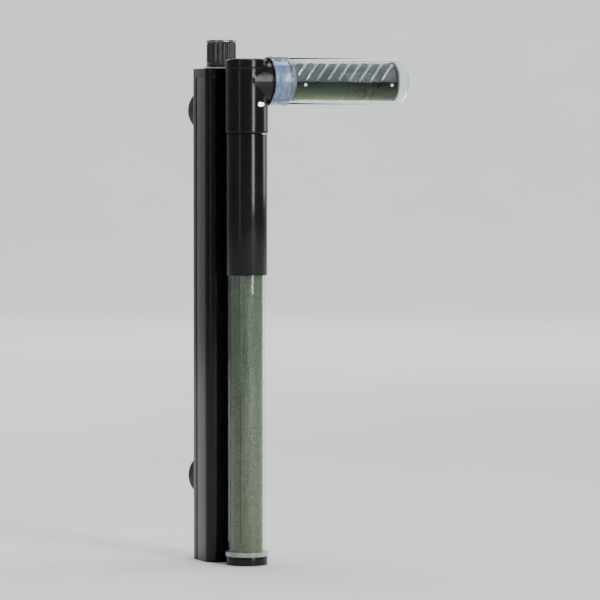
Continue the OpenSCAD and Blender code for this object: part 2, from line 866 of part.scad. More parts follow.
module tube_collar() {
    bore_r = upper_glass_r + 0.06;
    lip_r = upper_glass_r + 0.8;
    edge = 0.35;
    outline = [
        [bore_r, 0], [lip_r - edge, 0], [lip_r, edge], [lip_r, collar_l - edge],
        [lip_r - edge, collar_l], [bore_r, collar_l],
    ];
    color([0.62, 0.75, 0.86, 0.6]) along_upper(boss_end_x + 0.1) rotate_extrude() polygon(outline);
}

module tube_seal() {
    color([0.55, 0.68, 0.85]) along_upper(boss_end_x + 1) ring(upper_bore_r - 0.02, spigot_r + 0.02, 6.8);
}

// A tube that is closed at its far end by a dome
module upper_glass() {
    r = upper_glass_r;
    bore = upper_bore_r;
    dome_bore = dome_h - upper_glass_wall;
    outline = concat(
        [[r, 0]],
        [for (a = [0:10:80]) [r * cos(a), upper_glass_l + dome_h * sin(a)]],
        [[0, upper_glass_l + dome_h], [0, upper_glass_l + dome_bore]],
        [for (a = [80:-10:0]) [bore * cos(a), upper_glass_l + dome_bore * sin(a)]],
        [[bore, 0]]
    );
    color([0.75, 0.82, 0.88, 0.4]) along_upper(upper_glass_x) rotate_extrude() polygon(outline);
}

// Holes for the rod and both leads, through whatever fills the upper tube
module rod_and_lead_holes(depth) {
    translate([0, 0, -1]) cylinder(r = rod_hole_r, h = depth + 2);
    lead_holes(depth + 2);
}

module lead_holes(depth) {
    for (y = [-upper_lead_y, upper_lead_y])
        translate([upper_lead_drop, y, -1]) cylinder(r = upper_lead_hole_r, h = depth);
}

module glass_plug() {
    plug_l = 4.8;
    color([0.8, 0.82, 0.84]) along_upper(14) difference() {
        cylinder(r = spigot_bore_r - 0.1, h = plug_l);
        rod_and_lead_holes(plug_l);
    }
}

module spacer_discs() {
    color("burlywood") for (x = [former_start_x - disc_t - 0.1, former_end_x + 0.2])
        along_upper(x) difference() {
            cylinder(r = tray_r, h = disc_t);
            rod_and_lead_holes(disc_t);
        }
}

// A core with a through hole for the rod and two blind holes for the leads
module ceramic_former() {
    color([0.2, 0.21, 0.22]) along_upper(former_start_x) difference() {
        cylinder(r = former_r, h = former_l);
        translate([0, 0, -1]) cylinder(r = rod_hole_r, h = former_l + 2);
        lead_holes(5);
    }
}

// One strand runs over the top of the former, from its front edge to its rear edge
function strand_x(top, a) = top - winding_lead * a / 90;
function strand_ring(x, a) =
    let (half = strand_w / 2, up = cos(a), out = sin(a))
    [for (c = [[-half, strand_r[0]], [half, strand_r[0]], [half, strand_r[1]], [-half, strand_r[1]]])
        [tube_x + x + c[0], tube_y - c[1] * out, upper_axis_z + c[1] * up]];
module heating_winding() {
    strands = [-5:14];
    ends = [former_start_x + 1, former_end_x - 1];
    reach = 87;
    shortest = 15;
    step = 9;
    color([0.8, 0.8, 0.78]) for (i = strands) {
        top = strand_first_top + strand_pitch * i;
        from_a = max(-reach, (top - ends[1]) * 90 / winding_lead);
        to_a = min(reach, (top - ends[0]) * 90 / winding_lead);
        steps = ceil((to_a - from_a) / step);
        if (to_a - from_a > shortest)
            skin([for (k = [0:steps])
                let (a = to_a + (from_a - to_a) * k / steps) strand_ring(strand_x(top, a), a)]);
    }
}

// The lower half of a tube, cut just below the axis
module reflector_tray() {
    rim_drop = 0.4;
    size = 80;
    color("silver") intersection() {
        along_upper(former_start_x + 0.2) ring(tray_r, tray_r - tray_t, former_l - 0.4);
        translate([tube_x, tube_y - size / 2, upper_axis_z - rim_drop - size]) cube([size, size, size]);
    }
}

module tray_rivets() {
    droop = 11;
    color("whitesmoke") for (x = [former_start_x + 4, former_end_x - 2.9], side = [-1, 1])
        translate([tube_x + x, tube_y, upper_axis_z]) rotate([side * (90 + droop), 0, 0])
            translate([0, 0, tray_r + 0.02]) cylinder(r = 0.7, h = 0.22);
}

module tie_rod() {
    start_x = 13;
    nut_x = former_end_x + 1.1;
    color("silver") along_upper(start_x) {
        cylinder(r = rod_r, h = nut_x + 2 - start_x);
        translate([0, 0, nut_x - start_x]) cylinder(r = 2.6, h = 1.8, $fn = 6);
    }
}

module upper_leads() {
    start_x = 3;
    color("silver") for (y = [-upper_lead_y, upper_lead_y])
        translate([tube_x + start_x, tube_y + y, upper_axis_z - upper_lead_drop]) rotate([0, 90, 0])
            cylinder(r = lead_r, h = former_start_x + 1.6 - start_x);
}

// A window bar with a smaller crown that stands proud of the head
module pilot_lens() {
    foot = 7.7;
    flush = head_r + 0.1;
    color([1, 1, 1, 0.8]) at_lamp() {
        translate([0, 0, foot]) round_bar(lamp_r, lamp_spread, flush - foot);
        translate([0, 0, flush - eps]) round_bar(lamp_r - 0.3, lamp_spread, 0.35);
    }
}

module pilot_lamp() {
    color([1, 0.8, 0.6]) at_lamp() translate([0, 0, 2]) cylinder(r = 1.3, h = 5.4);
}

// ---------- nodes ----------

seated() hook_plate();
seated() upper_suction_cup();
seated() lower_suction_cup();
seated() column_housing();
seated() back_cover();
seated() cover_gasket();
seated() cover_screws();
seated() top_cap();
seated() gland_seal();
seated() gland_nut();
seated() dial_ring();
seated() spindle_bush();
seated() thermostat_frame();
seated() pivot_pin();
seated() insulator_block();
seated() fixed_contact();
seated() bimetal_strip();
seated() snap_magnet();
seated() suppression_capacitor();
seated() thermal_cutout();
seated() terminal_block();
seated() terminal_screws();
seated() column_wires();
seated() tube_sleeve();
seated() sleeve_grommet();
seated() lower_glass();
seated() sand_fill();
seated() lower_former();
seated() lower_coil();
seated() lower_leads();
seated() return_lead();
seated() end_ring();
seated() foot_pad();
seated() foot_bracket();
seated() tube_screws();
seated() knob();
seated() knob_cap();
seated() knob_pointer();
seated() spindle();
seated() spindle_seals();
seated() adjuster_plunger();
seated() contact_arm();
seated() moving_contact();
seated() elbow_head();
seated() head_plug();
seated() neck_seal();
seated() neck_clip();
seated() tube_collar();
seated() tube_seal();
seated() upper_glass();
seated() glass_plug();
seated() spacer_discs();
seated() ceramic_former();
seated() heating_winding();
seated() reflector_tray();
seated() tray_rivets();
seated() tie_rod();
seated() upper_leads();
seated() pilot_lens();
seated() pilot_lamp();
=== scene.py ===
import json
import math

import bmesh
import bpy
from mathutils import Matrix, Vector


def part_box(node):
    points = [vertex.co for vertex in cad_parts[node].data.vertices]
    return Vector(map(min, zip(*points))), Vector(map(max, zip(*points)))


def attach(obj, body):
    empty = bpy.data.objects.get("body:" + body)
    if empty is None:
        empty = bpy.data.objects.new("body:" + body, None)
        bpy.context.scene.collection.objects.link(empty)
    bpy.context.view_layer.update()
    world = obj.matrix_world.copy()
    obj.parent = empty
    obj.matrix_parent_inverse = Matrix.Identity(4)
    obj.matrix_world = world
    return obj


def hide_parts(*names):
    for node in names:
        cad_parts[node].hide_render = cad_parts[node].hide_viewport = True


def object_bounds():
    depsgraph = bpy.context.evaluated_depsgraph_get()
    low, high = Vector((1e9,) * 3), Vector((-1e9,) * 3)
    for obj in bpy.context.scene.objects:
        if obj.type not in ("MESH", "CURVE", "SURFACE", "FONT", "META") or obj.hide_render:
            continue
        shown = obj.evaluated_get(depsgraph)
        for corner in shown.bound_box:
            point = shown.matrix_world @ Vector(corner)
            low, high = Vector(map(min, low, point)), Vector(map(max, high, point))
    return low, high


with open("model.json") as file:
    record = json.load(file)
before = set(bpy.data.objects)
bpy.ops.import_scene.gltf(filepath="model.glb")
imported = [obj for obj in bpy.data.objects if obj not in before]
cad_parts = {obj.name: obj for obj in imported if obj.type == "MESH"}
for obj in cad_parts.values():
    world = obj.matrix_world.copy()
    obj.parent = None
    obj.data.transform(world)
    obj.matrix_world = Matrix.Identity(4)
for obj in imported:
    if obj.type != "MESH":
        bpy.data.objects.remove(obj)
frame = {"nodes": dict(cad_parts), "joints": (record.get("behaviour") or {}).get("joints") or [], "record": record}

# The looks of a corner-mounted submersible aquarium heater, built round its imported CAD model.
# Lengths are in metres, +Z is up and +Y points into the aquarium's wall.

CAD_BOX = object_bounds()
MM = 0.001
QUARTER = math.pi / 2
TURN = 2 * math.pi

JOINTS = {joint["name"]: joint for joint in frame["joints"]}
TUBE_AXIS = Vector(JOINTS["head_swivel"]["pos_m"])
DIAL_AXIS = Vector(JOINTS["dial_turn"]["pos_m"])


# ---------- small tools for meshes ----------

def link(name, mesh):
    """A new object for a mesh, in the scene."""
    obj = bpy.data.objects.new(name, mesh)
    bpy.context.scene.collection.objects.link(obj)
    return obj


def shade(mesh, sharp_degrees):
    """Smooth shading that keeps edges sharper than an angle."""
    mesh.shade_smooth()
    mesh.set_sharp_from_angle(angle=math.radians(sharp_degrees))


def finish_piece(obj, body, slot, replaced=(), finish=None):
    """Dresses a piece in its slot's finish or another, makes it ride a body and stand for CAD nodes."""
    obj.data.materials.clear()
    obj.data.materials.append(MATERIALS[finish or slot])
    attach(obj, body)
    if replaced:
        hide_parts(*replaced)


def mesh_from(name, points, faces, sharp_degrees):
    """A shaded mesh with doubled points merged and every face turned outwards."""
    mesh = bpy.data.meshes.new(name)
    mesh.from_pydata([tuple(p) for p in points], [], faces)
    bm = bmesh.new()
    bm.from_mesh(mesh)
    bmesh.ops.remove_doubles(bm, verts=bm.verts, dist=1e-7)
    bmesh.ops.recalc_face_normals(bm, faces=bm.faces)
    bm.to_mesh(mesh)
    bm.free()
    shade(mesh, sharp_degrees)
    return mesh


def rounded(corners, steps=5):
    """A polyline through (r, z, radius) corners, with each corner rounded by its radius."""
    straight = math.radians(179)
    path = []
    count = len(corners)
    for i, (r, z, radius) in enumerate(corners):
        here = Vector((r, z))
        before = Vector(corners[i - 1][:2]) - here
        after = Vector(corners[(i + 1) % count][:2]) - here
        if radius == 0 or before.length == 0 or after.length == 0:
            path.append(here)
            continue
        bend = before.angle(after)
        if bend > straight:
            path.append(here)
            continue
        back = min(radius / math.tan(bend / 2), 0.49 * before.length, 0.49 * after.length)
        start = here + before.normalized() * back
        end = here + after.normalized() * back
        for k in range(steps + 1):
            t = k / steps
            path.append(start * (1 - t) ** 2 + here * 2 * t * (1 - t) + end * t ** 2)
    return path


def lathe(name, outline, segments, turn):
    """A closed outline of (r, z) points turned round +Z, then moved by a matrix."""
    outline = [(max(r, 0), z) for r, z in outline]
    points = []
    for k in range(segments):
        angle = TURN * k / segments
        for r, z in outline:
            points.append(turn @ Vector((r * math.cos(angle), r * math.sin(angle), z)))
    count = len(outline)
    faces = []
    for k in range(segments):
        for j in range(count):
            a = k * count + j
            b = k * count + (j + 1) % count
            c = ((k + 1) % segments) * count + (j + 1) % count
            d = ((k + 1) % segments) * count + j
            faces.append((a, b, c, d))
    mesh = mesh_from(name, points, faces, 60)
    drop_slivers(mesh)
    return mesh


def drop_slivers(mesh):
    """Removes the faces without area that a lathe leaves on its axis."""
    bm = bmesh.new()
    bm.from_mesh(mesh)
    bmesh.ops.dissolve_degenerate(bm, dist=1e-7, edges=bm.edges)
    loose = [f for f in bm.faces if f.calc_area() < 1e-14]
    bmesh.ops.delete(bm, geom=loose, context="FACES")
    bm.to_mesh(mesh)
    bm.free()


def sweep(points, radius, sides):
    """The vertices and faces of a round wire along points, with one radius or one for each point."""
    radii = radius if isinstance(radius, list) else [radius] * len(points)
    verts = []
    faces = []
    side = None
    for i, point in enumerate(points):
        run = (points[min(i + 1, len(points) - 1)] - points[max(i - 1, 0)]).normalized()
        if side is None:
            side = run.orthogonal().normalized()
        side = (side - run * side.dot(run)).normalized()
        other = run.cross(side)
        for k in range(sides):
            angle = TURN * k / sides
            verts.append(point + (side * math.cos(angle) + other * math.sin(angle)) * radii[i])
    for i in range(len(points) - 1):
        for k in range(sides):
            a = i * sides + k
            b = i * sides + (k + 1) % sides
            faces.append((a, b, b + sides, a + sides))
    faces.append(tuple(reversed(range(sides))))
    last = (len(points) - 1) * sides
    faces.append(tuple(range(last, last + sides)))
    return verts, faces


def join_parts(name, parts, sharp_degrees):
    """One mesh from several (vertices, faces) pairs."""
    verts = []
    faces = []
    for part_verts, part_faces in parts:
        start = len(verts)
        verts.extend(part_verts)
        faces.extend(tuple(start + i for i in face) for face in part_faces)
    return mesh_from(name, verts, faces, sharp_degrees)


def softened(node, edge):
    """A copy of a CAD node's mesh with its edges rounded."""
    flat_enough = math.radians(0.6)
    sharp = math.radians(32)
    mesh = frame["nodes"][node].data.copy()
    mesh.name = node + "_soft"
    bm = bmesh.new()
    bm.from_mesh(mesh)
    bmesh.ops.remove_doubles(bm, verts=bm.verts, dist=2e-6)
    bmesh.ops.dissolve_limit(bm, angle_limit=flat_enough, verts=bm.verts, edges=bm.edges)
    bm.to_mesh(mesh)
    bm.free()
    obj = link(node + "_draft", mesh)
    bevel = obj.modifiers.new("edges", "BEVEL")
    bevel.width = edge
    bevel.segments = 3
    bevel.limit_method = "ANGLE"
    bevel.angle_limit = sharp
    bevel.use_clamp_overlap = True
    bevel.harden_normals = False
    bpy.context.view_layer.update()
    depsgraph = bpy.context.evaluated_depsgraph_get()
    baked_mesh_and_painted_shade = bpy.data.meshes.new_from_object(obj.evaluated_get(depsgraph))
    bpy.data.objects.remove(obj)
    shade(baked_mesh_and_painted_shade, 40)
    return baked_mesh_and_painted_shade


def melted(node, voxel, passes):
    """A copy of a CAD node's mesh with every edge and inner corner blended, as a moulding has."""
    obj = link(node + "_draft", frame["nodes"][node].data.copy())
    remesh = obj.modifiers.new("skin", "REMESH")
    remesh.mode = "VOXEL"
    remesh.voxel_size = voxel
    smooth = obj.modifiers.new("blend", "SMOOTH")
    smooth.factor = 0.5
    smooth.iterations = passes
    bpy.context.view_layer.update()
    depsgraph = bpy.context.evaluated_depsgraph_get()
    baked_mesh_and_painted_shade = bpy.data.meshes.new_from_object(obj.evaluated_get(depsgraph))
    bpy.data.objects.remove(obj)
    baked_mesh_and_painted_shade.shade_smooth()
    return baked_mesh_and_painted_shade


def softened_piece(name, node, edge, body, slot):
    """A piece that stands for a CAD node, the same shape with rounded edges."""
    mesh = softened(node, edge)
    finish_piece(link(name, mesh), body, slot, [node])


# ---------- small tools for materials ----------

class Recipe:
    """A material being built: its node tree, its shader and shorthand for the usual nodes."""

    def __init__(self, name, base, roughness, metallic=0.0):
        self.material = bpy.data.materials.new(name)
        self.material.use_nodes = True
        self.tree = self.material.node_tree
        self.shader = self.tree.nodes["Principled BSDF"]
        self.shader.inputs["Base Color"].default_value = (*base, 1)
        self.shader.inputs["Roughness"].default_value = roughness
        self.shader.inputs["Metallic"].default_value = metallic
        self.place = self.tree.nodes.new("ShaderNodeTexCoord").outputs["Object"]
        self.last_normal = None

    def set(self, **sockets):
        """Fixed values for sockets of the shader, with _ for each space in their names."""
        for name, value in sockets.items():
            self.shader.inputs[name.replace("_", " ")].default_value = value

    def stretched(self, scale):
        """Object coordinates scaled along each axis."""
        node = self.tree.nodes.new("ShaderNodeMapping")
        node.inputs["Scale"].default_value = scale
        self.tree.links.new(self.place, node.inputs["Vector"])
        return node.outputs["Vector"]

    def noise(self, scale, detail, rough, stretch=None):
        """Soft noise from 0 to 1."""
        node = self.tree.nodes.new("ShaderNodeTexNoise")
        node.inputs["Scale"].default_value = scale
        node.inputs["Detail"].default_value = detail
        node.inputs["Roughness"].default_value = rough
        self.tree.links.new(self.stretched(stretch) if stretch else self.place, node.inputs["Vector"])
        return node.outputs["Fac"]

    def cells(self, scale, output="Distance"):
        """Voronoi cells, as the distance to each cell's middle or as a colour for each cell."""
        node = self.tree.nodes.new("ShaderNodeTexVoronoi")
        node.inputs["Scale"].default_value = scale
        self.tree.links.new(self.place, node.inputs["Vector"])
        return node.outputs[output]

    def along(self, axis, first, last):
        """0 at one place on an axis of the object and 1 at another, in metres."""
        split = self.tree.nodes.new("ShaderNodeSeparateXYZ")
        self.tree.links.new(self.place, split.inputs["Vector"])
        node = self.tree.nodes.new("ShaderNodeMapRange")
        node.inputs["From Min"].default_value = first
        node.inputs["From Max"].default_value = last
        self.tree.links.new(split.outputs[axis], node.inputs["Value"])
        return node.outputs["Result"]

    def ramp(self, fac, stops):
        """A colour ramp through (position, grey or colour) stops."""
        node = self.tree.nodes.new("ShaderNodeValToRGB")
        elements = node.color_ramp.elements
        while len(elements) < len(stops):
            elements.new(0.5)
        for element, (position, value) in zip(elements, stops):
            element.position = position
            grey = (value, value, value) if isinstance(value, (int, float)) else value
            element.color = (*grey, 1)
        self.tree.links.new(fac, node.inputs["Fac"])
        return node.outputs["Color"]

    def mix(self, fac, a, b, mode="MIX"):
        """Two colours blended; the factor and the colours may be sockets or plain values."""
        node = self.tree.nodes.new("ShaderNodeMix")
        node.data_type = "RGBA"
        node.blend_type = mode
        colours = [s for s in node.inputs if s.type == "RGBA"]
        for socket, value in ((node.inputs["Factor"], fac), (colours[0], a), (colours[1], b)):
            if isinstance(value, bpy.types.NodeSocket):
                self.tree.links.new(value, socket)
            elif isinstance(value, (int, float)):
                socket.default_value = value
            else:
                socket.default_value = (*value, 1)
        return [s for s in node.outputs if s.type == "RGBA"][0]

    def colour(self, output):
        """Drives the base colour."""
        self.tree.links.new(output, self.shader.inputs["Base Color"])

    def roughness(self, output):
        """Drives the roughness."""
        self.tree.links.new(output, self.shader.inputs["Roughness"])

    def bump(self, height, depth, strength=1.0):
        """Adds relief of a depth in metres on top of the relief already there."""
        node = self.tree.nodes.new("ShaderNodeBump")
        node.inputs["Distance"].default_value = depth
        node.inputs["Strength"].default_value = strength
        self.tree.links.new(height, node.inputs["Height"])
        if self.last_normal:
            self.tree.links.new(self.last_normal, node.inputs["Normal"])
        self.last_normal = node.outputs["Normal"]
        self.tree.links.new(self.last_normal, self.shader.inputs["Normal"])


# ---------- materials ----------

def gloss_black():
    """Polished black moulding: a slow orange peel, fine hairlines and a trace of dried mineral film."""
    m = Recipe("gloss_black", (0.009, 0.010, 0.012), 0.16)
    film = m.noise(95, 6, 0.62)
    speck = m.cells(1500)
    tone = m.ramp(film, [(0.35, (0.0035, 0.0038, 0.0048)), (0.62, (0.0058, 0.0062, 0.0074)),
                         (0.8, (0.012, 0.0125, 0.014))])
    m.colour(tone)
    hairlines = m.noise(260, 5, 0.7, stretch=(9, 9, 0.6))
    m.roughness(m.mix(0.5, m.ramp(film, [(0.3, 0.1), (0.75, 0.25)]),
                      m.ramp(hairlines, [(0.42, 0.1), (0.66, 0.27)])))
    m.bump(m.noise(420, 2, 0.4), 0.03 * MM, 0.5)
    m.bump(speck, 0.01 * MM, 0.25)
    m.set(Specular_IOR_Level=0.26)
    return m.material


def satin_black(name="satin_black", grain=4200):
    """Spark-eroded satin moulding with a fine even grain."""
    m = Recipe(name, (0.018, 0.018, 0.02), 0.42)
    wear = m.noise(160, 5, 0.6)
    m.colour(m.ramp(wear, [(0.3, (0.013, 0.013, 0.015)), (0.7, (0.026, 0.026, 0.029))]))
    m.roughness(m.ramp(wear, [(0.3, 0.34), (0.75, 0.5)]))
    m.bump(m.noise(grain, 2, 0.5), 0.03 * MM, 0.8)
    return m.material


def heater_glass(name, clear, marked, drawn_along, sheen):
    """Glass tube that bends light little, with drawn waviness, water marks and a clear sheen."""
    m = Recipe(name, clear, 0.02)
    marks = m.noise(230, 6, 0.65)
    m.roughness(m.ramp(marks, [(0.45, 0.012), (0.72, 0.07)]))
    m.colour(m.ramp(marks, [(0.3, clear), (0.8, marked)]))
    m.bump(m.noise(90, 1, 0.4, stretch=drawn_along), 0.01 * MM, 0.08)
    m.set(Transmission_Weight=1.0, IOR=1.03, Coat_Weight=sheen, Coat_Roughness=0.02, Coat_IOR=1.5)
    return m.material


def collar_plastic():
    """Bluish translucent moulding with pale flow streaks."""
    m = Recipe("collar_plastic", (0.5, 0.62, 0.82), 0.1)
    streaks = m.noise(300, 5, 0.6, stretch=(2.2, 0.8, 0.8))
    m.colour(m.ramp(streaks, [(0.32, (0.3, 0.42, 0.66)), (0.5, (0.5, 0.61, 0.8)),
                              (0.68, (0.86, 0.91, 0.97))]))
    m.roughness(m.ramp(streaks, [(0.3, 0.06), (0.75, 0.24)]))
    m.bump(m.noise(900, 2, 0.5), 0.02 * MM, 0.4)
    m.set(Transmission_Weight=0.86, IOR=1.24, Coat_Weight=0.5, Coat_Roughness=0.05)
    return m.material


def cup_rubber():
    """Smoky black rubber with a dusty bloom, glossier where it has been handled."""
    m = Recipe("cup_rubber", (0.03, 0.032, 0.035), 0.34)
    bloom = m.noise(300, 6, 0.6)
    m.colour(m.ramp(bloom, [(0.3, (0.012, 0.013, 0.015)), (0.75, (0.055, 0.058, 0.062))]))
    m.roughness(m.ramp(bloom, [(0.3, 0.26), (0.75, 0.52)]))
    m.bump(m.noise(1400, 3, 0.5), 0.03 * MM, 0.5)
    return m.material


def rim_plastic():
    """Clear moulded ring, slightly green and scuffed."""
    m = Recipe("rim_plastic", (0.7, 0.79, 0.76), 0.16)
    scuff = m.noise(500, 6, 0.65)
    m.colour(m.ramp(scuff, [(0.3, (0.62, 0.72, 0.68)), (0.75, (0.85, 0.9, 0.89))]))
    m.roughness(m.ramp(scuff, [(0.35, 0.08), (0.7, 0.34)]))
    m.bump(m.noise(1100, 2, 0.5), 0.02 * MM, 0.4)
    m.set(Transmission_Weight=0.75, IOR=1.49)
    return m.material


def silicone():
    """Milky silicone, a little see-through."""
    m = Recipe("silicone", (0.62, 0.68, 0.74), 0.38)
    bloom = m.noise(420, 5, 0.6)
    m.colour(m.ramp(bloom, [(0.3, (0.52, 0.58, 0.65)), (0.75, (0.7, 0.75, 0.8))]))
    m.roughness(m.ramp(bloom, [(0.3, 0.3), (0.75, 0.5)]))
    m.bump(m.noise(1500, 2, 0.5), 0.02 * MM, 0.5)
    m.set(Transmission_Weight=0.25, IOR=1.42)
    return m.material


def seal_rubber():
    """Dull black rubber or sleeving."""
    m = Recipe("seal_rubber", (0.018, 0.018, 0.019), 0.55)
    bloom = m.noise(700, 5, 0.6)
    m.colour(m.ramp(bloom, [(0.3, (0.012, 0.012, 0.013)), (0.8, (0.045, 0.045, 0.047))]))
    m.roughness(m.ramp(bloom, [(0.3, 0.45), (0.75, 0.68)]))
    m.bump(m.noise(3000, 2, 0.5), 0.02 * MM, 0.6)
    return m.material


def metal(name, dark, light, rough_low, rough_high, grain=(1, 1, 14), scale=420):
    """A drawn, turned or plated metal: grain stretched along one axis, and slow tarnish."""
    m = Recipe(name, light, rough_low, 1.0)
    streaks = m.noise(scale, 5, 0.65, stretch=grain)
    tarnish = m.noise(150, 5, 0.6)
    wear_and_painted_light = m.mix(0.45, m.ramp(streaks, [(0.3, dark), (0.7, light)]),
                 m.ramp(tarnish, [(0.3, dark), (0.65, light)]))
    m.colour(wear_and_painted_light)
    m.roughness(m.ramp(streaks, [(0.3, rough_low), (0.75, rough_high)]))
    m.bump(streaks, 0.006 * MM, 0.4)
    return m.material


def fired(name, dark, light, rough, grain=2600):
    """Fired ceramic or pressed mineral: pores and specks in a slow cloud of tone."""
    m = Recipe(name, light, rough)
    cloud = m.noise(220, 6, 0.6)
    pores = m.cells(grain)
    m.colour(m.mix(0.35, m.ramp(cloud, [(0.3, dark), (0.7, light)]),
                   m.ramp(pores, [(0.1, dark), (0.5, light)])))
    m.roughness(m.ramp(cloud, [(0.3, rough - 0.08), (0.75, min(rough + 0.14, 0.95))]))
    m.bump(pores, 0.03 * MM, 0.5)
    return m.material


def moulded(name, dark, light, rough):
    """A plain moulded plastic with a slow change of tone."""
    m = Recipe(name, light, rough)
    cloud = m.noise(260, 5, 0.6)
    m.colour(m.ramp(cloud, [(0.3, dark), (0.75, light)]))
    m.roughness(m.ramp(cloud, [(0.3, rough - 0.07), (0.75, rough + 0.12)]))
    m.bump(m.noise(1800, 2, 0.5), 0.015 * MM, 0.5)
    return m.material


def quartz_sand():
    """Packed sand: olive-grey grains, some dark and some glassy, greyer high up and greener low down."""
    lo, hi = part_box("sand_fill")
    m = Recipe("quartz_sand", (0.14, 0.17, 0.1), 0.6)
    tint = m.cells(2600, "Color")
    edge = m.cells(2600)
    level = m.noise(60, 5, 0.62, stretch=(1, 1, 0.3))
    grain = m.ramp(tint, [(0.12, (0.035, 0.041, 0.03)), (0.4, (0.082, 0.096, 0.064)),
                          (0.75, (0.135, 0.155, 0.104)), (0.95, (0.34, 0.37, 0.29))])
    settled = m.mix(m.ramp(level, [(0.35, 0.05), (0.68, 0.6)]), grain, (0.085, 0.108, 0.05))
    # a tint by height: greener towards the foot, bluer towards the top
    height_tint = m.ramp(m.along("Z", lo.z, hi.z), [(0.1, (1.0, 1.0, 0.74)), (0.5, (0.92, 0.96, 0.9)),
                                             (1.0, (0.95, 1.0, 1.12))])
    m.colour(m.mix(1.0, settled, height_tint, "MULTIPLY"))
    m.roughness(m.ramp(tint, [(0.2, 0.7), (0.9, 0.3)]))
    m.bump(edge, 0.16 * MM, 0.9)
    return m.material


def reflector_sheet():
    """Rolled reflector sheet: grain along the tube, painted shade that darkens it upwards towards the winding so
    it is paler olive low down, and painted light that brightens its left end.
    """
    lo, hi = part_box("reflector_tray")
    m = Recipe("reflector_sheet", (0.16, 0.19, 0.12), 0.3, 1.0)
    grain = m.noise(520, 6, 0.65, stretch=(0.05, 1, 1))
    stain = m.noise(150, 6, 0.62)
    sheet = m.mix(0.4, m.ramp(grain, [(0.3, (0.1, 0.12, 0.07)), (0.7, (0.22, 0.25, 0.15))]),
                  m.ramp(stain, [(0.3, (0.11, 0.132, 0.075)), (0.7, (0.23, 0.255, 0.15))]))
    # painted shade: the sheet darkens from its bottom edge up towards the winding above it
    baked_mesh_and_painted_shade = m.ramp(m.along("Z", lo.z, hi.z), [(0.08, 1.0), (0.3, (0.66, 0.66, 0.68)),
                                              (0.62, (0.3, 0.32, 0.38)), (0.88, (0.1, 0.115, 0.16))])
    # painted light: the left end of the sheet is brighter than the right
    wear_and_painted_light = m.ramp(m.along("X", lo.x, hi.x), [(0.05, 1.0), (0.35, 0.95), (0.8, 0.6)])
    m.colour(m.mix(1.0, m.mix(1.0, sheet, baked_mesh_and_painted_shade, "MULTIPLY"), wear_and_painted_light, "MULTIPLY"))
    m.roughness(m.ramp(stain, [(0.3, 0.24), (0.75, 0.38)]))
    m.bump(grain, 0.01 * MM, 0.5)
    return m.material


def lamp_lens():
    """The pilot lamp's window, lit from behind."""
    m = Recipe("lamp_lens", (0.96, 0.97, 1.0), 0.12)
    cloud = m.noise(1600, 4, 0.6)
    m.roughness(m.ramp(cloud, [(0.3, 0.08), (0.75, 0.2)]))
    m.colour(m.ramp(cloud, [(0.3, (0.98, 0.98, 1.0)), (0.8, (0.88, 0.92, 0.98))]))
    m.set(Transmission_Weight=0.3, IOR=1.49, Emission_Color=(1, 0.98, 0.95, 1), Emission_Strength=1.6)
    return m.material


def lamp_glow():
    """The pilot lamp itself."""
    m = Recipe("lamp_glow", (1, 0.95, 0.86), 0.3)
    core = m.noise(1800, 3, 0.5)
    m.colour(m.ramp(core, [(0.3, (1, 0.9, 0.78)), (0.8, (1, 0.98, 0.92))]))
    m.set(Emission_Color=(1, 0.96, 0.88, 1), Emission_Strength=6.0)
    return m.material


def studio_floor():
    """Pale matt paper."""
    m = Recipe("studio_floor", (0.78, 0.785, 0.79), 0.6)
    m.colour(m.ramp(m.noise(6, 4, 0.6), [(0.3, (0.76, 0.765, 0.77)), (0.7, (0.8, 0.805, 0.81))]))
    m.bump(m.noise(900, 2, 0.5), 0.05 * MM, 0.3)
    return m.material


